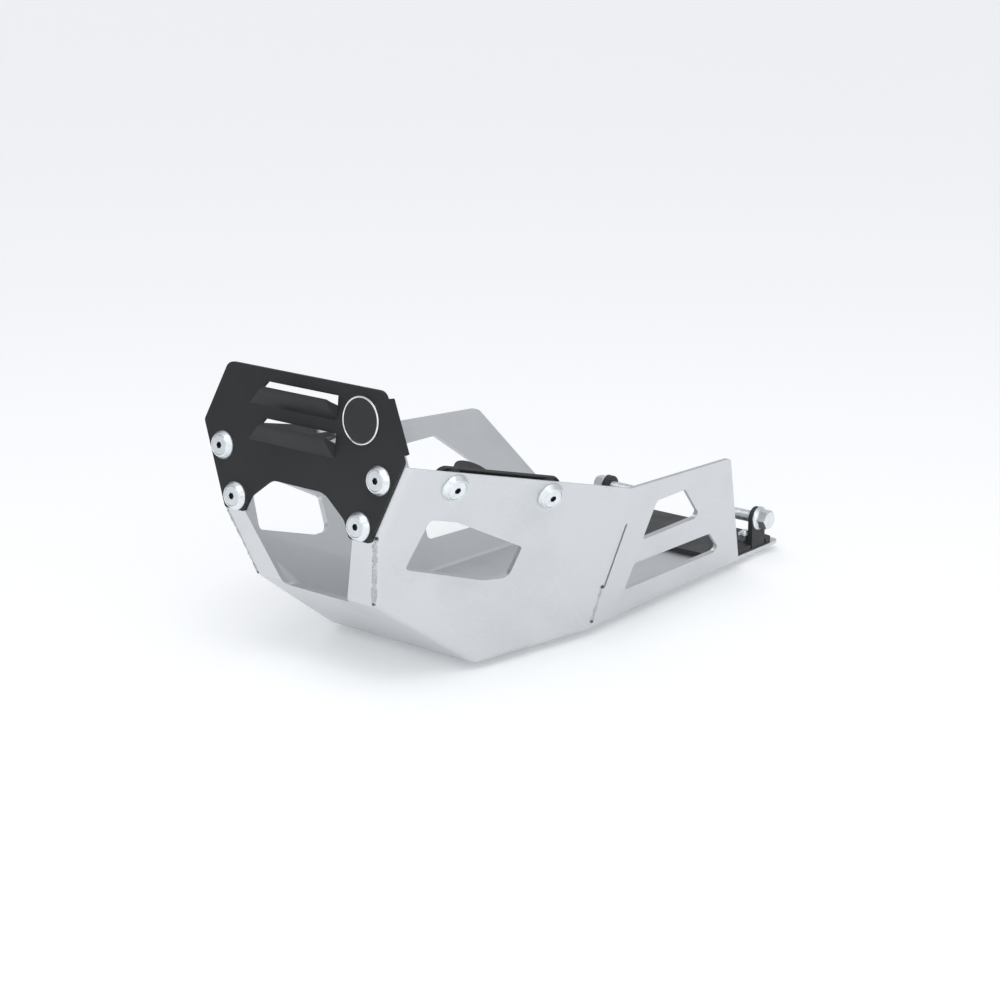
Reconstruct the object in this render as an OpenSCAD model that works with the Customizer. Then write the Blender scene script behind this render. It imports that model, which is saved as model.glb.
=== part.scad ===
// Motorcycle skid plate: a folded aluminium belly pan with a pressed front plate, its screws and brackets.
// +X points to the rear of the motorcycle, +Y to its right and +Z up.
// The origin lies on the underside of the flat bottom, midway between its front fold and its rear edge.

/* [Pan sheet] */
// Thickness of the aluminium sheet
sheet_t = 4; // [3:0.5:5]
// Outside radius of every fold
fold_r = 8; // [6:0.5:10]

/* [Bottom] */
// Length of the flat bottom, front fold to rear edge
bottom_l = 430; // [424:1:450]
// Half width of the bottom at the front fold
bottom_front_hw = 84; // [80:1:88]
// Distance from the front fold to the side bend, along the bottom
bend_back = 118; // [112:1:124]
// Half width of the bottom at the side bend
bottom_bend_hw = 103; // [99:1:107]
// Distance from the front fold to the wing's lower rear corner
wing_back = 350; // [344:1:354]
// Half width of the bottom at the wing's lower rear corner
bottom_rear_hw = 94; // [92:1:97]
// Half width of the tongue behind the wings
tongue_hw = 90; // [88:1:91]
// Corner radius of the tongue
tongue_r = 8; // [4:1:20]

/* [Front] */
// Run of the chamfer ahead of the front fold
chamfer_run = 99; // [94:1:104]
// Height of the chamfer's top edge
chamfer_h = 71; // [67:1:75]
// How far the lower flange leans ahead of the chamfer's top edge
prow_run = 16; // [12:1:20]
// Height at which the front flanges turn upright
prow_h = 128; // [124:1:132]
// How far the upper flange leans back at the side panel's top corner
lean_back = 8; // [6:0.5:10]
// Height of the side panel's front top corner
front_top_h = 191; // [187:1:195]
// Half width of the pan at the front top corner
front_top_hw = 110; // [107:1:113]
// Half width of the header opening at the chamfer
opening_low_hw = 34; // [30:1:38]
// Half width of the header opening where the flanges turn upright
opening_mid_hw = 58; // [54:1:60]

/* [Sides] */
// Distance from the front fold to the side bend, along the top edge
side_top_back = 108; // [104:1:112]
// Height of the side bend's top end
side_top_h = 136; // [132:1:140]
// Half width of the pan at the side bend's top end
side_top_hw = 154; // [150:1:158]
// Height on the front edge at which the lower facet's crease ends
crease_h = 109; // [104:1:114]
// Distance from the front fold to the wing's upper rear corner
wing_top_back = 263; // [258:1:268]
// Height of the wing's upper rear corner
wing_top_h = 127; // [124:1:129]
// Radius of the wing's upper rear corner
wing_corner_r = 9; // [5:1:12]
// Corner radius of the windows in the sides and wings
window_r = 4; // [3:0.5:5]
// Width of the relief slot on the side bend
relief_w = 3; // [2:0.5:4]
// Place of the relief slot's lower end, up the wing
relief_low_h = 45; // [40:1:50]
// Place of the relief slot's upper end, up the wing
relief_high_h = 106.5; // [100:0.5:110]

/* [Front plate] */
// Thickness of the front plate
plate_t = 3; // [2:0.5:3]
// Height of the front plate above its fold line on the pan
plate_h = 117; // [114:1:120]
// Half width of the front plate's top edge, to the start of its corner
plate_top_hw = 83; // [80:1:86]
// Height on the plate where its sides meet the pan
plate_side_h = 67; // [64:1:70]
// Set-back of the plate's sides from the pan's side panels
plate_inset = 4.5; // [4:0.5:6]
// Depth of the folded side returns
return_d = 9; // [6:0.5:12]
// Half width of the header arch at the plate's lower edge
arch_hw = 57; // [54:1:58]
// Height of the header arch on the plate
arch_h = 31; // [28:1:34]

/* [Louvres] */
// Width of a louvre between its upper corners
louvre_w = 76; // [70:1:82]
// Height of a louvre on the plate
louvre_h = 19; // [17:0.5:20]
// Extra width at the louvre's slanted end
louvre_slant = 18; // [14:1:20]
// How far a louvre's lip stands out
louvre_out = 8; // [6:0.5:9]
// Height of the slot above the lip
slot_h = 8; // [7:0.5:9]
// Place of the upper louvre's foot on the plate
upper_louvre_h = 88; // [86:1:89]
// Place of the lower louvre's foot on the plate
lower_louvre_h = 59; // [57:1:61]
// Place of the louvres' square end, left of the middle
louvre_end = 37; // [34:1:38]

/* [Badge] */
// Diameter of the badge
badge_d = 37; // [34:1:38]
// Thickness of the badge
badge_t = 1.6; // [1.2:0.1:2]
// Width of the badge's bright ring
badge_rim = 1.4; // [1:0.1:2]
// Distance of the badge from the middle
badge_y = 62; // [60:1:63]
// Height of the badge on the plate
badge_h = 92; // [89:1:94]

/* [Screws] */
// Diameter of the screw shanks
screw_d = 8; // [6:0.5:8]
// Diameter of the countersunk heads
head_d = 16; // [15:0.5:16]
// Hexagon socket across flats
socket_af = 5; // [4:0.5:6]
// Depth of the hexagon socket
socket_depth = 3; // [2:0.5:3.5]
// Diameter of a cup washer's foot
cup_d = 23; // [21:0.5:24]
// Height of a cup washer
cup_h = 5; // [4.5:0.5:5.5]
// Lock nut across flats
nut_af = 13; // [12:0.5:13]
// Height of a lock nut
nut_h = 8; // [7:0.5:9]
// Thread left standing beyond a nut
thread_over = 1.5; // [1:0.5:3]
// Radial clearance of a screw in its holes
hole_gap = 0.25; // [0.1:0.05:0.5]
// Distance of the upper plate screws from the middle
plate_screw_y = 84; // [83:0.5:85]
// Height of the upper plate screws on the plate
plate_screw_h = 50; // [48:0.5:52]
// Distance of the lower plate screws from the middle
low_screw_y = 67; // [66:0.5:68]
// Height of the lower plate screws on the plate
low_screw_h = 12; // [12:0.5:14]
// Distance of the front side screws from the panel's front corner
side_screw_front = 50; // [47:1:53]
// Pitch of the two screws on a side panel
side_screw_pitch = 96; // [92:1:100]
// Distance of the side screws below the panel's top edge
side_screw_down = 13; // [12:0.5:16]

/* [Side brackets] */
// Thickness of the bracket steel
steel_t = 4; // [3:0.5:5]
// Height of a side bracket's strip
strip_w = 22; // [20:1:24]
// Length of a side bracket's strip beyond its screws
strip_end = 14; // [13:1:16]
// Thickness of the rubber bushes
bush_t = 5; // [3:0.5:6]
// Diameter of the rubber bushes
bush_d = 22; // [18:0.5:24]
// Width of the ear that bolts to the motorcycle
ear_w = 34; // [30:1:40]
// Reach of the ear from the strip
ear_l = 42; // [36:1:50]
// Radius of the ear's bolt hole
ear_hole_r = 4.25; // [3.25:0.25:5.25]

/* [Rear bracket] */
// Distance from the front fold to the uprights' middle
upright_back = 396.5; // [394:0.5:399]
// Width of an upright
upright_w = 21; // [20:1:24]
// Half width of the rear bracket over its uprights
upright_hw = 88; // [86:0.5:88]
// Height of the flange bolts above the bottom
bolt_h = 32; // [29:1:36]
// Diameter of the flange bolts
bolt_d = 10; // [8:0.5:10]
// Free length of the flange bolts inside the uprights
bolt_free = 24; // [20:1:30]
// Flange bolt head across flats
bolt_af = 16; // [15:0.5:17]
// Diameter of the bolt's flange
flange_d = 22; // [20:0.5:23]
// Height of the bolt's head with its flange
bolt_head_h = 12; // [11:0.5:13]
// Front edge of the bracket's base, from the front fold
base_front = 334; // [330:1:345]
// Rear edge of the bracket's base, from the front fold
base_rear = 421; // [418:0.5:423]
// Distance from the front fold to the tongue screws
tongue_screw_back = 394; // [392:1:396]
// Distance of the tongue screws from the middle
tongue_screw_y = 75; // [70:1:75]
// Thickness of the rear bracket's steel
rear_t = 5; // [4:0.5:6]

/* [Hidden] */
$fn = 64;
LEFT = -1;
RIGHT = 1;
zinc = [0.88, 0.90, 0.91];
black = [0.10, 0.10, 0.11];
front_x = -bottom_l / 2;
cut = 60;

// The pan's sharp outer corners on the left side, before its folds are rounded
chamfer_top = [front_x - chamfer_run, 0, chamfer_h];
prow = [front_x - chamfer_run - prow_run, 0, prow_h];
flange_top = [prow.x + lean_back, 0, front_top_h];
side_front = [flange_top.x, -front_top_hw, front_top_h];
side_rear = [front_x + side_top_back, -side_top_hw, side_top_h];
bend_foot = [front_x + bend_back, -bottom_bend_hw, 0];
wing_foot = [front_x + wing_back, -bottom_rear_hw, 0];
fold_foot = [front_x, -bottom_front_hw, 0];

// A plane is [outward unit normal, distance from the origin along it]
function unit(v) = v / norm(v);
function plane(a, b, c) = let (n = unit(cross(b - a, c - a))) [n, n * a];
function moved_in(p, d) = [p[0], p[1] - d];
function facing(p, way) = p[0] * way < 0 ? [-p[0], -p[1]] : p;
function meet(p, q, r) =
    (p[1] * cross(q[0], r[0]) + q[1] * cross(r[0], p[0]) + r[1] * cross(p[0], q[0]))
    / (p[0] * cross(q[0], r[0]));
function on_left(p, x, z) = [x, (p[1] - p[0].x * x - p[0].z * z) / p[0].y, z];

bottom_plane = [[0, 0, -1], 0];
chamfer_plane = facing(plane(chamfer_top, [front_x, 0, 0], chamfer_top + [0, 1, 0]), [-1, 0, -1]);
prow_plane = facing(plane(chamfer_top, prow, prow + [0, 1, 0]), [-1, 0, 0]);
flange_plane = facing(plane(prow, flange_top, prow + [0, 1, 0]), [-1, 0, 0]);
side_plane = facing(plane(side_front, side_rear, bend_foot), [0, -1, 0]);
wing_plane = facing(plane(side_rear, bend_foot, wing_foot), [0, -1, 0]);
crease_top = on_left(side_plane, chamfer_top.x - prow_run * (crease_h - chamfer_h) / (prow_h - chamfer_h), crease_h);
facet_plane = facing(plane(crease_top, fold_foot, bend_foot), [0, -1, 0]);
crease_plane = [[0, 0, 1], crease_h];
lid_plane = [[0, 0, 1], front_top_h + cut];
tail_plane = [[1, 0, 0], bottom_l / 2 + cut];

// Frames on the flat panels: [origin, along, up, outward]
flange_up = unit(flange_top - prow);
side_along = unit(side_rear - side_front);
wing_along = unit(wing_foot - bend_foot);
plate_frame = [prow, [0, 1, 0], flange_up, flange_plane[0]];
side_frame = [side_front, side_along, cross(side_plane[0], side_along), side_plane[0]];
wing_frame = [bend_foot, wing_along, cross(wing_plane[0], wing_along), wing_plane[0]];

// Draws in a panel's frame: first axis along it, second up it, third out of it
module on_panel(f)
    multmatrix([
        [f[1].x, f[2].x, f[3].x, f[0].x],
        [f[1].y, f[2].y, f[3].y, f[0].y],
        [f[1].z, f[2].z, f[3].z, f[0].z]
    ]) children();

// Draws on the left as it is, and on the right as its mirror image
module on_side(side) mirror([0, side == RIGHT ? 1 : 0, 0]) children();
module both_sides() for (side = [LEFT, RIGHT]) on_side(side) children();

// Rounds each corner of an outline with an arc of the radius given beside it: [x, y, radius]
arc_steps = 6;
function corner_arc(a, b, c, r) =
    let (u = unit(a - b), v = unit(c - b), half = acos(u * v) / 2)
    let (middle = b + unit(u + v) * r / sin(half), start = b + u * r / tan(half))
    let (turn = -sign(cross([u.x, u.y, 0], [v.x, v.y, 0]).z) * (180 - 2 * half))
    [for (i = [0:arc_steps]) let (w = turn * i / arc_steps, s = start - middle)
        middle + [s.x * cos(w) - s.y * sin(w), s.x * sin(w) + s.y * cos(w)]];
function rounded(p) = [
    for (i = [0:len(p) - 1])
        let (b = p[i], a = p[(i + len(p) - 1) % len(p)], c = p[(i + 1) % len(p)])
        each (b[2] > 0 ? corner_arc([a.x, a.y], [b.x, b.y], [c.x, c.y], b[2]) : [[b.x, b.y]])
];

// A cut through a panel, from well behind it to well in front of it
module through_panel(outline) translate([0, 0, -cut / 2]) linear_extrude(cut) polygon(rounded(outline));

// The closed form of the pan, its corners rounded by balls of radius r:
// the flat panels, and the facet that flares out below the crease on each side
ball_steps = 40;
module pan_form(r) {
    floor_in = moved_in(bottom_plane, fold_r * cos(180 / ball_steps));
    chamfer_in = moved_in(chamfer_plane, fold_r);
    prow_in = moved_in(prow_plane, fold_r);
    flange_in = moved_in(flange_plane, fold_r);
    side_in = moved_in(side_plane, fold_r);
    wing_in = moved_in(wing_plane, fold_r);
    chamfer_corner = meet(chamfer_in, prow_in, side_in);
    bend_corner = meet(side_in, wing_in, floor_in);
    panels = [
        meet(chamfer_in, floor_in, side_in),
        chamfer_corner,
        meet(prow_in, flange_in, side_in),
        meet(flange_in, side_in, lid_plane),
        bend_corner,
        meet(side_in, wing_in, lid_plane),
        meet(wing_in, floor_in, tail_plane),
        meet(wing_in, lid_plane, tail_plane)
    ];
    facet = [
        meet(chamfer_in, floor_in, moved_in(facet_plane, fold_r)),
        meet(prow_in, side_in, crease_plane),
        chamfer_corner,
        bend_corner
    ];
    for (corners = [panels, facet])
        hull()
            both_sides()
                for (c = corners) translate(c) sphere(r, $fn = ball_steps);
}

// What the pan keeps, seen from the side: its top edge, the wing's rear edge and the tongue
module side_profile() {
    outline = [
        [prow.x - cut, -cut, 0],
        [prow.x - cut, front_top_h, 0],
        [side_front.x, front_top_h, 0],
        [side_rear.x, side_top_h, 0],
        [front_x + wing_top_back, wing_top_h, wing_corner_r],
        [front_x + wing_back, fold_r, fold_r / 2],
        [front_x + wing_back + fold_r, sheet_t, 0],
        [bottom_l / 2, sheet_t, 0],
        [bottom_l / 2, -cut, 0]
    ];
    rotate([90, 0, 0]) linear_extrude(2 * side_top_hw + cut, center = true) polygon(rounded(outline));
}

// The opening between the front flanges, seen from the front
module header_opening() {
    outline = [
        [-opening_low_hw, chamfer_h - fold_r / 2, window_r],
        [opening_low_hw, chamfer_h - fold_r / 2, window_r],
        [opening_mid_hw, prow_h, 0],
        [opening_mid_hw, front_top_h + cut, 0],
        [-opening_mid_hw, front_top_h + cut, 0],
        [-opening_mid_hw, prow_h, 0]
    ];
    translate([prow.x - cut, 0, 0])
        rotate([90, 0, 90]) linear_extrude(cut + chamfer_run / 2) polygon(rounded(outline));
}

// The trimmed sides of the tongue
module tongue_trim() {
    start = front_x + wing_back + fold_r / 2;
    difference() {
        translate([start, -side_top_hw, -cut]) cube([bottom_l, 2 * side_top_hw, 2 * cut]);
        translate([0, 0, -2 * cut]) linear_extrude(4 * cut) polygon(rounded([
            [start - cut, -tongue_hw, 0],
            [bottom_l / 2, -tongue_hw, tongue_r],
            [bottom_l / 2, tongue_hw, tongue_r],
            [start - cut, tongue_hw, 0]
        ]));
    }
}

// The header window of a side panel, from the panel's front top corner
module side_window() on_panel(side_frame) through_panel([
    [41.5, -43.5, window_r],
    [67.5, -43.5, 2 * window_r],
    [143.5, -62, window_r],
    [144.5, -92, 2 * window_r],
    [120, -95.5, 2 * window_r],
    [39.5, -89.5, window_r]
]);

// The two windows of a rear wing, from the side bend's foot
module wing_windows() on_panel(wing_frame) {
    through_panel([
        [38.5, 120, window_r],
        [81, 120, window_r],
        [126.5, 81, window_r],
        [37.5, 81.5, window_r]
    ]);
    through_panel([
        [38, 58, window_r],
        [157, 54.5, window_r],
        [189, 28, window_r],
        [37.5, 31, window_r]
    ]);
}

// The slot that eases the side bend, round at both ends, close behind the bend on the wing
relief_back = 1;
module relief_slot() on_panel(wing_frame) translate([relief_back, 0, -cut / 2]) {
    for (h = [relief_low_h, relief_high_h]) translate([0, h, 0]) cylinder(d = relief_w, h = cut);
    translate([-relief_w / 2, relief_low_h, 0]) cube([relief_w, relief_high_h - relief_low_h, cut]);
}

// The places of the screws on the plate and on a side panel, in their frames
function plate_spot(upper) = upper ? [plate_screw_y, plate_screw_h] : [low_screw_y, low_screw_h];
function side_spot(front) = [side_screw_front + (front ? 0 : side_screw_pitch), -side_screw_down];
module at_plate_screw(upper, side) {
    spot = plate_spot(upper);
    on_panel(plate_frame) translate([side * spot.x, spot.y, 0]) children();
}
module at_side_screw(front, side) {
    spot = side_spot(front);
    on_side(side) on_panel(side_frame) translate([spot.x, spot.y, 0]) children();
}
module at_tongue_screw(side)
    translate([front_x + tongue_screw_back, side * tongue_screw_y, 0]) rotate([180, 0, 0]) children();
module screw_hole() translate([0, 0, -cut / 2]) cylinder(r = screw_d / 2 + hole_gap, h = cut);

// Belly pan: one folded and welded aluminium sheet
module belly_pan() color([0.80, 0.81, 0.82]) difference() {
    intersection() {
        difference() {
            pan_form(fold_r);
            pan_form(fold_r - sheet_t);
        }
        side_profile();
    }
    header_opening();
    tongue_trim();
    both_sides() {
        side_window();
        wing_windows();
        relief_slot();
    }
    for (side = [LEFT, RIGHT]) {
        at_plate_screw(true, side) screw_hole();
        at_plate_screw(false, side) screw_hole();
        at_side_screw(true, side) screw_hole();
        at_side_screw(false, side) screw_hole();
        at_tongue_screw(side) screw_hole();
    }
}

// Front plate: its outline, half widths along the pan's front edges
function pan_edge(h) =
    let (z = prow.z + h * flange_up.z, x = prow.x + h * flange_up.x)
    -on_left(side_plane, x, z).y;
plate_low_h = 1;
module plate_outline() {
    side_hw = pan_edge(plate_side_h) - plate_inset;
    low_hw = pan_edge(plate_low_h) - plate_inset;
    arch_top_hw = arch_hw / 2;
    polygon(rounded([
        [-plate_top_hw, plate_h, 9],
        [-side_hw, plate_side_h, 4],
        [-low_hw, plate_low_h, 3],
        [-arch_hw, plate_low_h, 3],
        [-arch_hw + 6, arch_h * 0.45, 10],
        [-arch_top_hw, arch_h, 20],
        [arch_top_hw, arch_h, 20],
        [arch_hw - 6, arch_h * 0.45, 10],
        [arch_hw, plate_low_h, 3],
        [low_hw, plate_low_h, 3],
        [side_hw, plate_side_h, 4],
        [plate_top_hw, plate_h, 9]
    ]));
}

// A louvre's hood from its foot: a quarter wave in section, with a square end and a slanted one
hood_wall = 2;
wave_steps = 8;
module hood(grow) {
    lip_h = louvre_h - slot_h;
    wave = [for (i = [0:wave_steps]) [lip_h * i / wave_steps, louvre_out * sin(90 * i / wave_steps) - grow]];
    hull() {
        translate([grow, 0, 0]) rotate([90, 0, 90]) linear_extrude(louvre_w - 2 * grow)
            polygon(concat(wave, [[lip_h, -2 * plate_t], [grow, -2 * plate_t]]));
        translate([grow, 0, -2 * plate_t]) linear_extrude(2 * plate_t - grow)
            polygon([[0, grow], [louvre_w + louvre_slant - 2 * grow, grow], [louvre_w, lip_h], [0, lip_h]]);
    }
}
module at_louvre(foot_h) translate([-louvre_end, foot_h, plate_t]) children();
module louvre_slot() {
    lip_h = louvre_h - slot_h;
    translate([0, 0, -cut / 2]) linear_extrude(cut) polygon([
        [0, lip_h],
        [0, louvre_h],
        [louvre_w, louvre_h],
        [louvre_w + louvre_slant, 0],
        [louvre_w - slot_h / 2, lip_h]
    ]);
}

// A side return, folded back along the plate's slanted side
return_gap = 6;
module side_return() {
    low = [pan_edge(plate_side_h) - plate_inset, plate_side_h];
    high = [plate_top_hw, plate_h];
    along = unit(high - low);
    length = norm(high - low) - 2 * return_gap;
    on_panel([[low.x, low.y, 0], [along.x, along.y, 0], [0, 0, 1], [along.y, -along.x, 0]])
        translate([return_gap, plate_t - return_d, -plate_t]) cube([length, return_d, plate_t]);
}
// Front plate: one pressed and folded steel sheet
module front_plate() color(black) on_panel(plate_frame) difference() {
    union() {
        linear_extrude(plate_t) plate_outline();
        for (foot_h = [upper_louvre_h, lower_louvre_h]) at_louvre(foot_h) hood_in_front();
        side_return();
        mirror([1, 0, 0]) side_return();
    }
    for (foot_h = [upper_louvre_h, lower_louvre_h]) at_louvre(foot_h) {
        hood(hood_wall);
        louvre_slot();
    }
    for (side = [LEFT, RIGHT], upper = [true, false]) {
        spot = plate_spot(upper);
        translate([side * spot.x, spot.y, 0]) screw_hole();
    }
}
module hood_in_front() intersection() {
    hood(0);
    translate([-cut, -cut, -plate_t]) cube([4 * cut, 2 * cut, cut]);
}

// Badge: a thin ring round a bare disc, glued to the front plate
module at_badge() on_panel(plate_frame) translate([-badge_y, badge_h, plate_t]) children();
disc_drop = 0.4;
module badge_ring() color(zinc) at_badge() rotate_extrude()
    translate([badge_d / 2 - badge_rim, 0]) polygon([
        [0, 0], [badge_rim, 0], [badge_rim, badge_t - disc_drop], [badge_rim / 2, badge_t], [0, badge_t - disc_drop / 2]
    ]);
module badge_disc() color(black) at_badge() cylinder(r = badge_d / 2 - badge_rim, h = badge_t - disc_drop);

// A countersunk screw, seated in its cup washer: the panel's face is at 0 and the head above it
head_rise = 0.2;
cup_gap = 0.1;
module countersunk_screw(grip) {
    head_r = head_d / 2;
    shank_r = screw_d / 2;
    top = cup_h - head_rise;
    difference() {
        rotate_extrude() polygon([
            [0, top],
            [head_r - 0.5, top],
            [head_r, top - 0.5],
            [shank_r, top - 0.5 - (head_r - shank_r)],
            [shank_r, 1 - grip - nut_h - thread_over],
            [shank_r - 1, -grip - nut_h - thread_over],
            [0, -grip - nut_h - thread_over]
        ]);
        translate([0, 0, top - socket_depth]) cylinder(d = socket_af / cos(30), h = socket_depth + 1, $fn = 6);
    }
}

// A cup washer: a turned cone with a countersunk seat
module cup_washer() {
    head_r = head_d / 2 + cup_gap;
    hole_r = screw_d / 2 + hole_gap;
    seat = cup_h - head_rise - 0.5;
    rotate_extrude() polygon([
        [hole_r, 0],
        [cup_d / 2, 0],
        [cup_d / 2, 1],
        [head_r + 1, cup_h - 0.3],
        [head_r + 0.6, cup_h],
        [head_r, cup_h],
        [head_r, seat],
        [hole_r, seat - (head_r - hole_r)]
    ]);
}

// A lock nut: a chamfered hexagon with a round collar, standing down from 0
thread_gap = 0.05;
module lock_nut() {
    collar_h = nut_h / 5;
    collar_r = nut_af / 2 - 0.9;
    edge_r = nut_af / 2 / cos(30);
    chamfer = edge_r - nut_af / 2 + 0.3;
    difference() {
        union() {
            intersection() {
                translate([0, 0, collar_h - nut_h]) cylinder(r = edge_r, h = nut_h - collar_h, $fn = 6);
                rotate_extrude() polygon([
                    [0, 0],
                    [edge_r - chamfer, 0],
                    [edge_r, -chamfer / 2],
                    [edge_r, collar_h - nut_h + chamfer / 2],
                    [edge_r - chamfer, collar_h - nut_h],
                    [0, collar_h - nut_h]
                ]);
            }
            rotate_extrude() polygon([
                [0, collar_h - nut_h],
                [collar_r, collar_h - nut_h],
                [collar_r, 0.6 - nut_h],
                [collar_r - 0.6, -nut_h],
                [0, -nut_h]
            ]);
        }
        translate([0, 0, -nut_h - 1]) cylinder(r = screw_d / 2 + thread_gap, h = nut_h + 2);
    }
}

plate_grip = sheet_t;
side_grip = sheet_t + bush_t + steel_t;
tongue_grip = sheet_t + rear_t;
module at_plate_face(upper, side) at_plate_screw(upper, side) translate([0, 0, plate_t]) children();
module plate_screw(upper, side) color(zinc) at_plate_face(upper, side) countersunk_screw(plate_grip + plate_t);
module plate_cup(upper, side) color(zinc) at_plate_face(upper, side) cup_washer();
module plate_nut(upper, side) color(zinc) at_plate_screw(upper, side) translate([0, 0, -plate_grip]) lock_nut();
module side_screw(front, side) color(zinc) at_side_screw(front, side) countersunk_screw(side_grip);
module side_cup(front, side) color(zinc) at_side_screw(front, side) cup_washer();
module side_nut(front, side) color(zinc) at_side_screw(front, side) translate([0, 0, -side_grip]) lock_nut();
module tongue_screw(side) color(zinc) at_tongue_screw(side) countersunk_screw(tongue_grip);
module tongue_cup(side) color(zinc) at_tongue_screw(side) cup_washer();
module tongue_nut(side) color(zinc) at_tongue_screw(side) translate([0, 0, -tongue_grip]) rotate(30) lock_nut();

// Rubber bush between a side panel and its bracket
module side_bush(front, side) color([0.07, 0.07, 0.07]) at_side_screw(front, side)
    translate([0, 0, -sheet_t - bush_t]) difference() {
        cylinder(d = bush_d, h = bush_t);
        translate([0, 0, -1]) cylinder(r = screw_d / 2 + hole_gap, h = bush_t + 2);
    }

// Side bracket: a folded steel strip behind the panel, with an ear that bolts to the motorcycle
strip_corner_r = 8;
module side_bracket(side) color(black) on_side(side) on_panel(side_frame) {
    start = side_screw_front - strip_end;
    length = side_screw_pitch + 2 * strip_end;
    back = -side_grip;
    foot = -side_screw_down - strip_w / 2;
    middle = side_screw_front + side_screw_pitch / 2;
    hole_in = back - ear_l + ear_w / 2;
    difference() {
        union() {
            translate([0, 0, back]) linear_extrude(steel_t) polygon(rounded([
                [start, foot, strip_corner_r],
                [start + length, foot, strip_corner_r],
                [start + length, foot + strip_w, strip_corner_r],
                [start, foot + strip_w, strip_corner_r]
            ]));
            translate([middle - ear_w / 2, foot, hole_in]) cube([ear_w, steel_t, steel_t / 2 + back - hole_in]);
            translate([middle, foot, hole_in]) rotate([-90, 0, 0]) cylinder(d = ear_w, h = steel_t);
        }
        for (front = [true, false]) {
            spot = side_spot(front);
            translate([spot.x, spot.y, 0]) screw_hole();
        }
        translate([middle, foot - 1, hole_in]) rotate([-90, 0, 0]) cylinder(r = ear_hole_r, h = steel_t + 2);
    }
}

// Rear bracket: a steel base on the tongue with an upright folded up at each side
base_corner_r = 6;
module rear_bracket() color(black) {
    upright_x = front_x + upright_back;
    notch = 2;
    difference() {
        union() {
            translate([0, 0, sheet_t]) linear_extrude(rear_t) polygon(rounded([
                [front_x + base_front, -upright_hw, base_corner_r],
                [front_x + base_rear, -upright_hw, base_corner_r],
                [front_x + base_rear, upright_hw, base_corner_r],
                [front_x + base_front, upright_hw, base_corner_r]
            ]));
            both_sides() {
                translate([upright_x - upright_w / 2, -upright_hw, sheet_t])
                    cube([upright_w, rear_t, bolt_h - sheet_t]);
                translate([upright_x, -upright_hw, bolt_h]) rotate([-90, 0, 0]) cylinder(d = upright_w, h = rear_t);
            }
        }
        both_sides() {
            translate([upright_x, -upright_hw - 1, bolt_h]) rotate([-90, 0, 0])
                cylinder(r = bolt_d / 2 + hole_gap, h = rear_t + 2);
            for (end = [LEFT, RIGHT])
                translate([upright_x + end * (upright_w + notch) / 2, -upright_hw, sheet_t + rear_t])
                    cube([notch, 3 * rear_t, 3 * rear_t], center = true);
        }
        for (side = [LEFT, RIGHT]) at_tongue_screw(side) screw_hole();
    }
}

// Flange bolt: hexagon head on a round flange, its shank ending free inside the bracket
module flange_bolt(side) color(zinc) on_side(side)
    translate([front_x + upright_back, -upright_hw, bolt_h]) rotate([90, 0, 0]) {
        flange_h = 3;
        shank_l = rear_t + bolt_free;
        corner_r = bolt_af / 2 / cos(30);
        rotate_extrude() polygon([
            [0, -shank_l],
            [bolt_d / 2 - 1, -shank_l],
            [bolt_d / 2, 1 - shank_l],
            [bolt_d / 2, 0],
            [flange_d / 2, 0],
            [flange_d / 2, 1],
            [corner_r, flange_h],
            [0, flange_h]
        ]);
        intersection() {
            cylinder(r = corner_r, h = bolt_head_h, $fn = 6);
            rotate_extrude() polygon([
                [0, 0],
                [corner_r, 0],
                [corner_r, bolt_head_h - 1],
                [bolt_af / 2 - 0.3, bolt_head_h],
                [0, bolt_head_h]
            ]);
        }
    }

belly_pan();
front_plate();
badge_ring();
badge_disc();
rear_bracket();
side_bracket(LEFT);  // side_bracket_left
side_bracket(RIGHT);  // side_bracket_right
side_bush(true, LEFT);  // side_bush_front_left
side_bush(false, LEFT);  // side_bush_rear_left
side_bush(true, RIGHT);  // side_bush_front_right
side_bush(false, RIGHT);  // side_bush_rear_right
plate_screw(true, LEFT);  // plate_screw_upper_left
plate_screw(false, LEFT);  // plate_screw_lower_left
plate_screw(true, RIGHT);  // plate_screw_upper_right
plate_screw(false, RIGHT);  // plate_screw_lower_right
plate_cup(true, LEFT);  // plate_cup_upper_left
plate_cup(false, LEFT);  // plate_cup_lower_left
plate_cup(true, RIGHT);  // plate_cup_upper_right
plate_cup(false, RIGHT);  // plate_cup_lower_right
plate_nut(true, LEFT);  // plate_nut_upper_left
plate_nut(false, LEFT);  // plate_nut_lower_left
plate_nut(true, RIGHT);  // plate_nut_upper_right
plate_nut(false, RIGHT);  // plate_nut_lower_right
side_screw(true, LEFT);  // side_screw_front_left
side_screw(false, LEFT);  // side_screw_rear_left
side_screw(true, RIGHT);  // side_screw_front_right
side_screw(false, RIGHT);  // side_screw_rear_right
side_cup(true, LEFT);  // side_cup_front_left
side_cup(false, LEFT);  // side_cup_rear_left
side_cup(true, RIGHT);  // side_cup_front_right
side_cup(false, RIGHT);  // side_cup_rear_right
side_nut(true, LEFT);  // side_nut_front_left
side_nut(false, LEFT);  // side_nut_rear_left
side_nut(true, RIGHT);  // side_nut_front_right
side_nut(false, RIGHT);  // side_nut_rear_right
tongue_screw(LEFT);  // tongue_screw_left
tongue_screw(RIGHT);  // tongue_screw_right
tongue_cup(LEFT);  // tongue_cup_left
tongue_cup(RIGHT);  // tongue_cup_right
tongue_nut(LEFT);  // tongue_nut_left
tongue_nut(RIGHT);  // tongue_nut_right
flange_bolt(LEFT);  // flange_bolt_left
flange_bolt(RIGHT);  // flange_bolt_right
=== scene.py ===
import math

import bmesh
import bpy
from mathutils import Matrix, Vector


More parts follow.
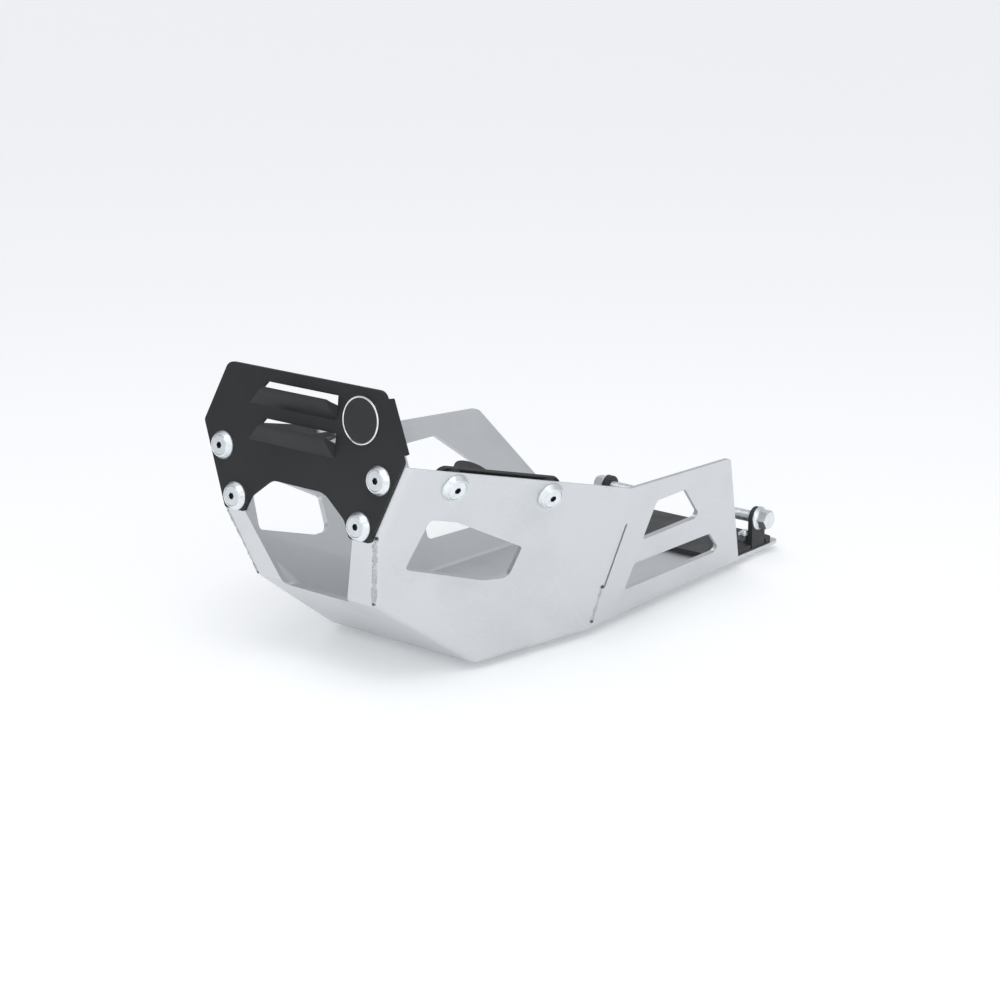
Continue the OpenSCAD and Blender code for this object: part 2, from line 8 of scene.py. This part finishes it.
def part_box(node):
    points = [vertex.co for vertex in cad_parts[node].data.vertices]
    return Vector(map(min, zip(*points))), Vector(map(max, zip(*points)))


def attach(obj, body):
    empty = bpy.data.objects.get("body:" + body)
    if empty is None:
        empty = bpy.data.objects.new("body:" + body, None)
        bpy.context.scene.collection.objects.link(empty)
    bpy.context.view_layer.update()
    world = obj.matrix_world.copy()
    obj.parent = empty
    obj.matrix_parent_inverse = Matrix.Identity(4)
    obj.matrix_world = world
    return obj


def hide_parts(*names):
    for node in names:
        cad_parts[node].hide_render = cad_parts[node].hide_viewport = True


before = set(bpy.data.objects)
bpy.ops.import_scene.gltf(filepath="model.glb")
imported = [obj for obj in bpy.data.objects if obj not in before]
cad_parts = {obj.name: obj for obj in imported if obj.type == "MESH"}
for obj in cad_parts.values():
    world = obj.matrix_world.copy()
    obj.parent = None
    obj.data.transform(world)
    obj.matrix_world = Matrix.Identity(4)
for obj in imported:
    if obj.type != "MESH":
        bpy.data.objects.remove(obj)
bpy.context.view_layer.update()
scene = bpy.context.scene
scene.view_settings.view_transform = "Standard"


# Camera
# It stands to the left of the plate's nose, at the photograph's angle and distance,
# with the focal length that its perspective shows.
camera_place = (-1.4722, -1.1647, 0.6190)
heading = -49.93
look_down = 16.183
roll = -0.265
camera = bpy.data.objects.new("camera", bpy.data.cameras.new("camera"))
camera.data.sensor_width = 36
camera.data.lens = 79.2
camera.matrix_world = (
    Matrix.Translation(camera_place)
    @ Matrix.Rotation(math.radians(heading), 4, "Z")
    @ Matrix.Rotation(math.radians(90 - look_down), 4, "X")
    @ Matrix.Rotation(math.radians(roll), 4, "Z")
)
scene.collection.objects.link(camera)
scene.camera = camera


# Floor and lights
# A pale matt floor under the washers of the tongue, which glows a little as a light table does,
# a white room that is dimmer behind, with a grey flag at its front right that the plate mirrors,
# and weak soft lamps over the nose, before it and at the left.
floor_gap = 0.0003
floor_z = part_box("tongue_cup_left")[0][2] - floor_gap
floor_reach = 20
floor_glow = 0.19
front_light = 1.08
rear_light = 0.58
flag_light = 0.3
flag_way = Vector((-0.78, 0.60, 0.05)).normalized()
flag_edge = (0.60, 0.93)


def new_mesh_piece(name, points, faces):
    mesh = bpy.data.meshes.new(name)
    mesh.from_pydata([tuple(p) for p in points], [], faces)
    mesh.update()
    piece = bpy.data.objects.new(name, mesh)
    scene.collection.objects.link(piece)
    return piece


def new_material(name, color, metallic, roughness):
    made = bpy.data.materials.new(name)
    made.use_nodes = True
    shader = made.node_tree.nodes["Principled BSDF"]
    shader.inputs["Base Color"].default_value = (*color, 1)
    shader.inputs["Metallic"].default_value = metallic
    shader.inputs["Roughness"].default_value = roughness
    return made, made.node_tree, shader


floor = new_mesh_piece(
    "floor",
    [(x * floor_reach, y * floor_reach, floor_z) for x, y in ((-1, -1), (1, -1), (1, 1), (-1, 1))],
    [(0, 1, 2, 3)],
)
floor_paint, _, floor_shader = new_material("pale_floor", (0.91, 0.91, 0.91), 0, 0.7)
floor_shader.inputs["Specular IOR Level"].default_value = 0.2
floor_shader.inputs["Emission Color"].default_value = (0.96, 0.98, 1.0, 1)
floor_shader.inputs["Emission Strength"].default_value = floor_glow
floor.data.materials.append(floor_paint)

room = bpy.data.worlds.new("white_room")
room.use_nodes = True
air = room.node_tree.nodes["Background"]
air.inputs["Color"].default_value = (0.95, 0.97, 1.0, 1)
way = room.node_tree.nodes.new("ShaderNodeTexCoord")
split = room.node_tree.nodes.new("ShaderNodeSeparateXYZ")
fade = room.node_tree.nodes.new("ShaderNodeMapRange")
fade.inputs["From Min"].default_value = -1
fade.inputs["To Min"].default_value = front_light
fade.inputs["To Max"].default_value = rear_light
towards = room.node_tree.nodes.new("ShaderNodeVectorMath")
towards.operation = "DOT_PRODUCT"
towards.inputs[1].default_value = flag_way
flag = room.node_tree.nodes.new("ShaderNodeMapRange")
flag.interpolation_type = "SMOOTHSTEP"
flag.inputs["From Min"].default_value = flag_edge[0]
flag.inputs["From Max"].default_value = flag_edge[1]
flag.inputs["To Min"].default_value = 1
flag.inputs["To Max"].default_value = flag_light
dimmed = room.node_tree.nodes.new("ShaderNodeMath")
dimmed.operation = "MULTIPLY"
link = room.node_tree.links.new
link(way.outputs["Generated"], split.inputs["Vector"])
link(split.outputs["X"], fade.inputs["Value"])
link(way.outputs["Generated"], towards.inputs[0])
link(towards.outputs["Value"], flag.inputs["Value"])
link(fade.outputs["Result"], dimmed.inputs[0])
link(flag.outputs["Result"], dimmed.inputs[1])
link(dimmed.outputs["Value"], air.inputs["Strength"])
scene.world = room


def soft_lamp(name, place, target, size, watts):
    lamp = bpy.data.objects.new(name, bpy.data.lights.new(name, "AREA"))
    lamp.data.shape = "DISK"
    lamp.data.size = size
    lamp.data.energy = watts
    lamp.location = place
    lamp.rotation_euler = (Vector(target) - Vector(place)).to_track_quat("-Z", "Y").to_euler()
    scene.collection.objects.link(lamp)


soft_lamp("over_the_nose", (-1.0, -0.6, 1.9), (-0.05, -0.05, 0.1), 1.2, 9)
soft_lamp("before_the_nose", (-1.5, 0.1, 0.45), (-0.25, 0.0, 0.02), 0.9, 1.5)
soft_lamp("left_side", (-0.5, -2.2, 0.9), (-0.05, 0.0, 0.1), 1.6, 4)


# Belly pan
# One sheet of 4 mm aluminium, laser cut, folded up at the nose and along both sides, and welded
# at the corners. The finish is a fine satin grind over the mill's grain, a little cloudy from handling.
cut_edge = 0.0004
merge_reach = 1e-6


def copy_of_node(node, name, edge, angle=35):
    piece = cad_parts[node].copy()
    piece.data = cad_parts[node].data.copy()
    piece.name = name
    scene.collection.objects.link(piece)
    work = bmesh.new()
    work.from_mesh(piece.data)
    bmesh.ops.remove_doubles(work, verts=work.verts, dist=merge_reach)
    for face in work.faces:
        face.smooth = True
    for side in work.edges:
        side.smooth = not (side.is_manifold and side.calc_face_angle() > math.radians(angle))
    work.to_mesh(piece.data)
    work.free()
    for key in list(piece.keys()):
        if key.startswith("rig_"):
            del piece[key]
    soften = piece.modifiers.new("softened edges", "BEVEL")
    soften.width = edge
    soften.segments = 2
    soften.limit_method = "ANGLE"
    soften.angle_limit = math.radians(angle)
    soften.use_clamp_overlap = True
    shade = piece.modifiers.new("flat faces stay flat", "WEIGHTED_NORMAL")
    shade.keep_sharp = True
    shade.weight = 100
    return piece


def dress(piece, material):
    piece.data.materials.clear()
    piece.data.materials.append(material)


def node_of(tree, kind, **settings):
    made = tree.nodes.new(kind)
    for key, value in settings.items():
        setattr(made, key, value)
    return made


def noise(tree, scale, detail, stretch=(1, 1, 1)):
    place = node_of(tree, "ShaderNodeTexCoord")
    turn = node_of(tree, "ShaderNodeMapping")
    turn.inputs["Scale"].default_value = stretch
    grain = node_of(tree, "ShaderNodeTexNoise")
    grain.inputs["Scale"].default_value = scale
    grain.inputs["Detail"].default_value = detail
    tree.links.new(place.outputs["Object"], turn.inputs["Vector"])
    tree.links.new(turn.outputs["Vector"], grain.inputs["Vector"])
    return grain.outputs["Fac"]


def spread(tree, value, low, high, source=(0.35, 0.65)):
    change = node_of(tree, "ShaderNodeMapRange")
    change.inputs["From Min"].default_value = source[0]
    change.inputs["From Max"].default_value = source[1]
    change.inputs["To Min"].default_value = low
    change.inputs["To Max"].default_value = high
    tree.links.new(value, change.inputs["Value"])
    return change.outputs["Result"]


def two_tone(tree, value, dark, light):
    ramp = node_of(tree, "ShaderNodeValToRGB")
    ramp.color_ramp.elements[0].position = 0.3
    ramp.color_ramp.elements[1].position = 0.7
    ramp.color_ramp.elements[0].color = (*dark, 1)
    ramp.color_ramp.elements[1].color = (*light, 1)
    tree.links.new(value, ramp.inputs["Fac"])
    return ramp.outputs["Color"]


def relief(tree, shader, value, height):
    bump = node_of(tree, "ShaderNodeBump")
    bump.inputs["Strength"].default_value = 1
    bump.inputs["Distance"].default_value = height
    tree.links.new(value, bump.inputs["Height"])
    tree.links.new(bump.outputs["Normal"], shader.inputs["Normal"])


def add(tree, first, second, share):
    total = node_of(tree, "ShaderNodeMath", operation="MULTIPLY_ADD")
    total.inputs[1].default_value = share
    tree.links.new(second, total.inputs[0])
    tree.links.new(first, total.inputs[2])
    return total.outputs["Value"]


satin_aluminium, tree, shader = new_material("satin_aluminium", (0.63, 0.645, 0.66), 1.0, 0.4)
clouds = noise(tree, 14, 3)
mill_grain = noise(tree, 60, 4, (1.0, 14.0, 14.0))
grind = noise(tree, 900, 2)
tone = add(tree, clouds, mill_grain, 0.35)
sheet_tone = two_tone(tree, tone, (0.578, 0.595, 0.611), (0.672, 0.687, 0.703))
tree.links.new(sheet_tone, shader.inputs["Base Color"])
dullness = spread(tree, add(tree, clouds, grind, 0.5), 0.36, 0.50, (0.5, 1.0))
tree.links.new(dullness, shader.inputs["Roughness"])
relief(tree, shader, add(tree, grind, mill_grain, 0.8), 0.00006)

pan = copy_of_node("belly_pan", "pan_sheet", cut_edge)
dress(pan, satin_aluminium)
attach(pan, "root")
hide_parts("belly_pan")


# Weld beads
# The pan's front corners are cut apart to be folded, and so is the foot of each side bend. Each is closed
# with a hand-laid bead of aluminium, ground nearly flush. Each end of a bead has a dark pit, drawn as a
# small dark blob.
bead_width = 0.0054
bead_pitch = 0.0016
bead_sunk = 0.0016
pit_width = 0.0036
pit_length = 0.001
seam_steps = 24
bead_seed_step = 3
pit_seed_step = 5
# Shares of the width of a bead or pit
narrowest_ripple = 0.74
widest_ripple = 1.04
widest_pit = 1.2
ripple_flatness = 0.62
pit_sink = 0.1


def new_tree(name, sizes):
    tree = bpy.data.node_groups.new(name, "GeometryNodeTree")
    tree.interface.new_socket("Places", in_out="INPUT", socket_type="NodeSocketGeometry")
    for label, kind in sizes:
        tree.interface.new_socket(label, in_out="INPUT", socket_type=kind)
    tree.interface.new_socket("Made", in_out="OUTPUT", socket_type="NodeSocketGeometry")
    return tree, tree.nodes.new("NodeGroupInput"), tree.nodes.new("NodeGroupOutput")


def close_tree(tree, start, end, instances):
    whole = tree.nodes.new("GeometryNodeRealizeInstances")
    smooth = tree.nodes.new("GeometryNodeSetShadeSmooth")
    painted = tree.nodes.new("GeometryNodeSetMaterial")
    tree.links.new(instances, whole.inputs["Geometry"])
    tree.links.new(whole.outputs["Geometry"], smooth.inputs["Geometry"])
    tree.links.new(smooth.outputs["Geometry"], painted.inputs["Geometry"])
    tree.links.new(start.outputs["Finish"], painted.inputs["Material"])
    tree.links.new(painted.outputs["Geometry"], end.inputs["Made"])


def grown(name, base, tree, values):
    grow = base.modifiers.new("grown", "NODES")
    grow.node_group = tree
    for item in tree.interface.items_tree:
        if item.in_out == "INPUT" and item.name in values:
            grow[item.identifier] = values[item.name]
    bpy.context.view_layer.update()
    seen = base.evaluated_get(bpy.context.evaluated_depsgraph_get())
    mesh = bpy.data.meshes.new_from_object(seen)
    base.modifiers.remove(grow)
    bpy.data.objects.remove(base)
    mesh.name = name
    piece = bpy.data.objects.new(name, mesh)
    scene.collection.objects.link(piece)
    return piece


def furthest_at(height, way):
    best = None
    for side in pan.data.edges:
        a, b = (pan.data.vertices[i].co for i in side.vertices)
        if (a.z - height) * (b.z - height) > 0 or a.z == b.z:
            continue
        point = a.lerp(b, (height - a.z) / (b.z - a.z))
        if best is None or point.dot(way) > best.dot(way):
            best = point
    return best


def seam(low, high, way):
    return [furthest_at(low + (high - low) * i / seam_steps, way) for i in range(seam_steps + 1)]


bead_tree, start, end = new_tree("bead", (
    ("Ripple pitch", "NodeSocketFloat"),
    ("Bead width", "NodeSocketFloat"),
    ("Widest ripple", "NodeSocketFloat"),
    ("Seed", "NodeSocketInt"),
    ("Finish", "NodeSocketMaterial"),
))
line = bead_tree.nodes.new("GeometryNodeMeshToCurve")
spaced = bead_tree.nodes.new("GeometryNodeResampleCurve")
spaced.mode = "LENGTH"
drop = bead_tree.nodes.new("GeometryNodeMeshIcoSphere")
drop.inputs["Radius"].default_value = 0.5
drop.inputs["Subdivisions"].default_value = 3
along = bead_tree.nodes.new("GeometryNodeInputTangent")
facing = bead_tree.nodes.new("FunctionNodeAlignRotationToVector")
facing.axis = "Z"
size = bead_tree.nodes.new("FunctionNodeRandomValue")
size.data_type = "FLOAT"
size.inputs[2].default_value = narrowest_ripple
shape = bead_tree.nodes.new("ShaderNodeCombineXYZ")
shape.inputs["X"].default_value = 1
shape.inputs["Y"].default_value = 1
shape.inputs["Z"].default_value = ripple_flatness
sized = bead_tree.nodes.new("ShaderNodeVectorMath")
sized.operation = "SCALE"
widened = bead_tree.nodes.new("ShaderNodeMath")
widened.operation = "MULTIPLY"
laid = bead_tree.nodes.new("GeometryNodeInstanceOnPoints")
link = bead_tree.links.new
link(start.outputs["Places"], line.inputs["Mesh"])
link(line.outputs["Curve"], spaced.inputs["Curve"])
link(start.outputs["Ripple pitch"], spaced.inputs["Length"])
link(along.outputs["Tangent"], facing.inputs["Vector"])
link(start.outputs["Widest ripple"], size.inputs[3])
link(start.outputs["Seed"], size.inputs["Seed"])
link(size.outputs[1], widened.inputs[0])
link(start.outputs["Bead width"], widened.inputs[1])
link(shape.outputs["Vector"], sized.inputs[0])
link(widened.outputs["Value"], sized.inputs["Scale"])
link(spaced.outputs["Curve"], laid.inputs["Points"])
link(drop.outputs["Mesh"], laid.inputs["Instance"])
link(facing.outputs["Rotation"], laid.inputs["Rotation"])
link(sized.outputs["Vector"], laid.inputs["Scale"])
close_tree(bead_tree, start, end, laid.outputs["Instances"])

bead_metal, tree, shader = new_material("weld_bead_aluminium", (0.5, 0.51, 0.52), 1.0, 0.42)
soot = noise(tree, 95, 5)
bead_tone = two_tone(tree, soot, (0.43, 0.435, 0.44), (0.62, 0.63, 0.64))
tree.links.new(bead_tone, shader.inputs["Base Color"])
tree.links.new(spread(tree, soot, 0.40, 0.55), shader.inputs["Roughness"])
relief(tree, shader, noise(tree, 700, 3), 0.00008)
# The pits are nearly black blobs laid at both ends of each bead.
dark_pit_blob, tree, shader = new_material("dark_pit_blob", (0.05, 0.05, 0.05), 0.3, 0.6)
pit_tone = two_tone(tree, noise(tree, 900, 3), (0.03, 0.03, 0.03), (0.12, 0.12, 0.12))
tree.links.new(pit_tone, shader.inputs["Base Color"])


def bead_along(name, points, turn, values):
    path = new_mesh_piece("path", [(p.x, turn * p.y, p.z) for p in points], [])
    path.data.edges.add(len(points) - 1)
    for i, edge in enumerate(path.data.edges):
        edge.vertices = (i, i + 1)
    made = grown(name, path, bead_tree, values)
    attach(made, "root")


# Each seam's low and high end, and the way in which its corner points outwards
seams = {
    "front_corner": (0.073, 0.1325, Vector((-0.904, -0.427, 0))),
    "bend_foot": (0.010, 0.0435, Vector((-0.06, -0.998, 0))),
}
for number, (place, (low, high, way)) in enumerate(seams.items()):
    for side, turn in (("left", 1), ("right", -1)):
        points = [p - way * bead_sunk for p in seam(low, high, way)]
        bead_along(f"{place}_bead_{side}", points, turn, {
            "Ripple pitch": bead_pitch,
            "Bead width": bead_width,
            "Widest ripple": widest_ripple,
            "Seed": bead_seed_step * number + turn,
            "Finish": bead_metal,
        })
        for end_name, at in (("low", low), ("high", high)):
            foot = furthest_at(at, way) - way * pit_width * pit_sink
            points = [foot, foot + Vector((0, 0, pit_length))]
            bead_along(f"{place}_{end_name}_pit_{side}", points, turn, {
                "Ripple pitch": bead_pitch,
                "Bead width": pit_width,
                "Widest ripple": widest_pit,
                "Seed": pit_seed_step * number + turn,
                "Finish": dark_pit_blob,
            })


# Front plate
# One sheet of 3 mm steel, cut, pressed with two louvres that catch the air, and folded back along its
# sides. Each louvre's lip is rolled up over its slot, and its square end is drawn in. The coat is satin
# black powder.
lip_lift = 0.62
end_draw = 0.55
end_reach = 0.012
hood_rise = 0.0001
plate_edge = 0.0005
black_coat, tree, shader = new_material("black_powder_coat", (0.012, 0.0125, 0.014), 0.0, 0.42)
shader.inputs["Specular IOR Level"].default_value = 0.35
orange_peel = noise(tree, 700, 2)
wear = noise(tree, 22, 4)
coat_tone = two_tone(tree, wear, (0.009, 0.0095, 0.011), (0.016, 0.0165, 0.018))
tree.links.new(coat_tone, shader.inputs["Base Color"])
tree.links.new(spread(tree, wear, 0.40, 0.52), shader.inputs["Roughness"])
relief(tree, shader, orange_peel, 0.00006)

plate = copy_of_node("front_plate", "louvred_plate", plate_edge)
outward = max(plate.data.polygons, key=lambda face: -face.normal.x * face.area)
face_level = plate.data.vertices[outward.vertices[0]].co.dot(outward.normal)
plate_front = outward.normal.copy()
plate_up = Vector((0, 1, 0)).cross(plate_front)
plate_up *= math.copysign(1, plate_up.z)
hood_points = [v for v in plate.data.vertices if v.co.dot(plate_front) > face_level + hood_rise]
hood_end = min(v.co.y for v in hood_points)
for corner in hood_points:
    out = corner.co.dot(plate_front) - face_level
    nearness = max(0, 1 - (corner.co.y - hood_end) / end_reach)
    corner.co += plate_up * lip_lift * out
    corner.co.y += end_draw * out * nearness
dress(plate, black_coat)
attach(plate, "root")
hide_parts("front_plate")


# Badge
# A thin ring of polished metal, pressed round a disc of gloss black plastic.
# The badge is glued to the plate and left bare.
badge_edge = 0.00012
bright_ring, tree, shader = new_material("bright_ring", (0.80, 0.81, 0.82), 1.0, 0.16)
tree.links.new(spread(tree, noise(tree, 300, 3), 0.12, 0.22), shader.inputs["Roughness"])
gloss_disc, tree, shader = new_material("gloss_black_disc", (0.008, 0.008, 0.009), 0.0, 0.12)
tree.links.new(spread(tree, noise(tree, 120, 3), 0.09, 0.16), shader.inputs["Roughness"])
for node, material, name, slot in (
    ("badge_ring", bright_ring, "badge_rim_ring", "badge_rim"),
    ("badge_disc", gloss_disc, "badge_face_disc", "badge_face"),
):
    piece = copy_of_node(node, name, badge_edge)
    dress(piece, material)
    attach(piece, "root")
    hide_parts(node)


# Screws, cup washers, nuts and flange bolts
# Zinc-plated steel, passivated a bright blue white: countersunk hexagon-socket screws in turned cup
# washers, lock nuts behind them, and a hexagon flange bolt through each upright of the rear bracket.
# How far the painted shade reaches inside each screw's hexagon socket
socket_r = 0.0031
socket_floor = 0.0034
head_skin = 0.00005
fastener_edge = 0.00015
fastener_angle = 40
bright_zinc, tree, shader = new_material("bright_zinc", (0.78, 0.82, 0.84), 1.0, 0.3)
cloud = noise(tree, 160, 3)
turning = noise(tree, 1500, 2)
zinc_tone = two_tone(tree, cloud, (0.70, 0.745, 0.775), (0.84, 0.87, 0.885))
tree.links.new(zinc_tone, shader.inputs["Base Color"])
dullness = spread(tree, add(tree, cloud, turning, 0.4), 0.24, 0.38, (0.4, 0.9))
tree.links.new(dullness, shader.inputs["Roughness"])
relief(tree, shader, turning, 0.00002)
# Painted shade: the inside of each hexagon socket is painted nearly black, for the shadow in the socket's
# hollow.
socket_painted_shade, tree, shader = new_material("socket_painted_shade", (0.05, 0.05, 0.055), 1.0, 0.35)
socket_shade_tone = two_tone(tree, noise(tree, 900, 2), (0.07, 0.07, 0.075), (0.16, 0.16, 0.165))
tree.links.new(socket_shade_tone, shader.inputs["Base Color"])


def middle_of(node):
    points = [v.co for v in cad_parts[node].data.vertices]
    return sum(points, Vector()) / len(points)


def axis_of(screw):
    cup = screw.replace("screw", "cup")
    nut = screw.replace("screw", "nut")
    return (middle_of(nut) - middle_of(cup)).normalized()


# Gives the faces inside the socket, between the head's skin and the socket floor, the painted-shade
# material.
def paint_socket_shade(piece, screw):
    axis = axis_of(screw)
    centre = middle_of(screw)
    top = min(v.co.dot(axis) for v in piece.data.vertices)
    for face in piece.data.polygons:
        depth = face.center.dot(axis) - top
        off_axis = face.center - centre
        off_axis -= axis * off_axis.dot(axis)
        if head_skin < depth < socket_floor and off_axis.length < socket_r:
            face.material_index = 1


fasteners = [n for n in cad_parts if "screw" in n or "cup" in n or "nut" in n or "bolt" in n]
for node in sorted(fasteners):
    piece = copy_of_node(node, node + "_bright", fastener_edge, fastener_angle)
    dress(piece, bright_zinc)
    if "screw" in node:
        piece.data.materials.append(socket_painted_shade)
        paint_socket_shade(piece, node)
    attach(piece, "root")
    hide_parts(node)


# Threads and nylon rings
# Rolled threads on the flange bolts' free shanks and on the screw tips, and the nylon ring that makes
# each lock nut grip. The tips' threads and the rings are sized for a 6 mm screw, and these screws are
# 8 mm, so the shanks cover the threads and all but the outer 0.1 mm of the rings.
screw_r = 0.003
screw_pitch = 0.001
bolt_r = 0.005
bolt_pitch = 0.0015
free_shank = 0.0225
bolt_chamfer = 0.0012
tip_chamfer = 0.0009
screw_thread_sunk = 0.00012
screw_thread_depth = 0.00035
bolt_thread_sunk = 0.0002
bolt_thread_depth = 0.0006
ring_out = 0.0006
ring_thick = 0.0005
ring_sunk = 0.0002


def far_end(node, axis):
    return max(v.co.dot(axis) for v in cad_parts[node].data.vertices)


def point_cloud(name, places):
    cloud = new_mesh_piece(name, [place for place, axis in places], [])
    ways = cloud.data.attributes.new("axis", "FLOAT_VECTOR", "POINT")
    for i, (place, axis) in enumerate(places):
        ways.data[i].vector = axis
    return cloud


def on_axes(tree, start, end, shape):
    ways = tree.nodes.new("GeometryNodeInputNamedAttribute")
    ways.data_type = "FLOAT_VECTOR"
    ways.inputs["Name"].default_value = "axis"
    facing = tree.nodes.new("FunctionNodeAlignRotationToVector")
    facing.axis = "Z"
    placed = tree.nodes.new("GeometryNodeInstanceOnPoints")
    tree.links.new(ways.outputs["Attribute"], facing.inputs["Vector"])
    tree.links.new(start.outputs["Places"], placed.inputs["Points"])
    tree.links.new(shape, placed.inputs["Instance"])
    tree.links.new(facing.outputs["Rotation"], placed.inputs["Rotation"])
    close_tree(tree, start, end, placed.outputs["Instances"])


thread_tree, start, end = new_tree("thread", (
    ("Radius", "NodeSocketFloat"),
    ("Length", "NodeSocketFloat"),
    ("Turns", "NodeSocketFloat"),
    ("Depth", "NodeSocketFloat"),
    ("Finish", "NodeSocketMaterial"),
))
helix = thread_tree.nodes.new("GeometryNodeCurveSpiral")
helix.inputs["Resolution"].default_value = 28
crest = thread_tree.nodes.new("GeometryNodeCurvePrimitiveCircle")
crest.inputs["Resolution"].default_value = 4
swept = thread_tree.nodes.new("GeometryNodeCurveToMesh")
swept.inputs["Fill Caps"].default_value = True
link = thread_tree.links.new
link(start.outputs["Radius"], helix.inputs["Start Radius"])
link(start.outputs["Radius"], helix.inputs["End Radius"])
link(start.outputs["Length"], helix.inputs["Height"])
link(start.outputs["Turns"], helix.inputs["Rotations"])
link(start.outputs["Depth"], crest.inputs["Radius"])
link(helix.outputs["Curve"], swept.inputs["Curve"])
link(crest.outputs["Curve"], swept.inputs["Profile Curve"])
on_axes(thread_tree, start, end, swept.outputs["Mesh"])

ring_tree, start, end = new_tree("nylon ring", (
    ("Radius", "NodeSocketFloat"),
    ("Thickness", "NodeSocketFloat"),
    ("Finish", "NodeSocketMaterial"),
))
circle = ring_tree.nodes.new("GeometryNodeCurvePrimitiveCircle")
circle.inputs["Resolution"].default_value = 40
section = ring_tree.nodes.new("GeometryNodeCurvePrimitiveCircle")
section.inputs["Resolution"].default_value = 12
turned = ring_tree.nodes.new("GeometryNodeCurveToMesh")
link = ring_tree.links.new
link(start.outputs["Radius"], circle.inputs["Radius"])
link(start.outputs["Thickness"], section.inputs["Radius"])
link(circle.outputs["Curve"], turned.inputs["Curve"])
link(section.outputs["Curve"], turned.inputs["Profile Curve"])
on_axes(ring_tree, start, end, turned.outputs["Mesh"])

pale_nylon, tree, shader = new_material("pale_blue_nylon", (0.55, 0.66, 0.74), 0.0, 0.45)
nylon_tone = two_tone(tree, noise(tree, 400, 2), (0.48, 0.60, 0.70), (0.62, 0.72, 0.78))
tree.links.new(nylon_tone, shader.inputs["Base Color"])

screw_tips = []
nut_ends = []
for nut in sorted(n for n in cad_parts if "nut" in n):
    axis = axis_of(nut.replace("nut", "screw"))
    on_axis = middle_of(nut) - axis * middle_of(nut).dot(axis)
    tip = far_end(nut.replace("nut", "screw"), axis)
    face = far_end(nut, axis)
    screw_tips.append((on_axis + axis * face, axis))
    nut_ends.append((on_axis + axis * (face - ring_sunk), axis))
tip_length = tip - face - tip_chamfer
threads = grown("screw_tip_threads", point_cloud("tips", screw_tips), thread_tree, {
    "Radius": screw_r - screw_thread_sunk,
    "Length": tip_length,
    "Turns": tip_length / screw_pitch,
    "Depth": screw_thread_depth,
    "Finish": bright_zinc,
})
rings = grown("nylon_rings", point_cloud("nuts", nut_ends), ring_tree, {
    "Radius": screw_r + ring_out,
    "Thickness": ring_thick,
    "Finish": pale_nylon,
})

bolt_ends = []
for node, inward in (("flange_bolt_left", Vector((0, 1, 0))), ("flange_bolt_right", Vector((0, -1, 0)))):
    shank = middle_of(node)
    shank_end = far_end(node, inward)
    foot = shank - inward * shank.dot(inward) + inward * (shank_end - bolt_chamfer - free_shank)
    bolt_ends.append((foot, inward))
bolt_threads = grown("flange_bolt_threads", point_cloud("bolts", bolt_ends), thread_tree, {
    "Radius": bolt_r - bolt_thread_sunk,
    "Length": free_shank,
    "Turns": free_shank / bolt_pitch,
    "Depth": bolt_thread_depth,
    "Finish": bright_zinc,
})
for piece in (threads, rings, bolt_threads):
    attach(piece, "root")


# Brackets
# Folded black steel: one behind each side panel, which the pan hangs from,
# and one on the tongue with an upright at each side.
bracket_edge = 0.0005
black_steel, tree, shader = new_material("black_bracket_paint", (0.018, 0.018, 0.020), 0.0, 0.5)
tree.links.new(spread(tree, noise(tree, 35, 4), 0.42, 0.58), shader.inputs["Roughness"])
relief(tree, shader, noise(tree, 500, 3), 0.00005)
for node in ("rear_bracket", "side_bracket_left", "side_bracket_right"):
    piece = copy_of_node(node, node + "_painted", bracket_edge)
    dress(piece, black_steel)
    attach(piece, "root")
    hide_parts(node)


# Rubber bushes
# Turned black rubber between each side panel and its bracket,
# which keeps shaking out of the pan.
bush_edge = 0.0006
black_rubber, tree, shader = new_material("black_rubber", (0.016, 0.016, 0.016), 0.0, 0.8)
tree.links.new(spread(tree, noise(tree, 400, 3), 0.7, 0.9), shader.inputs["Roughness"])
relief(tree, shader, noise(tree, 600, 2), 0.00005)
for node in sorted(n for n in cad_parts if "bush" in n):
    piece = copy_of_node(node, node + "_rubber", bush_edge)
    dress(piece, black_rubber)
    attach(piece, "root")
    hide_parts(node)
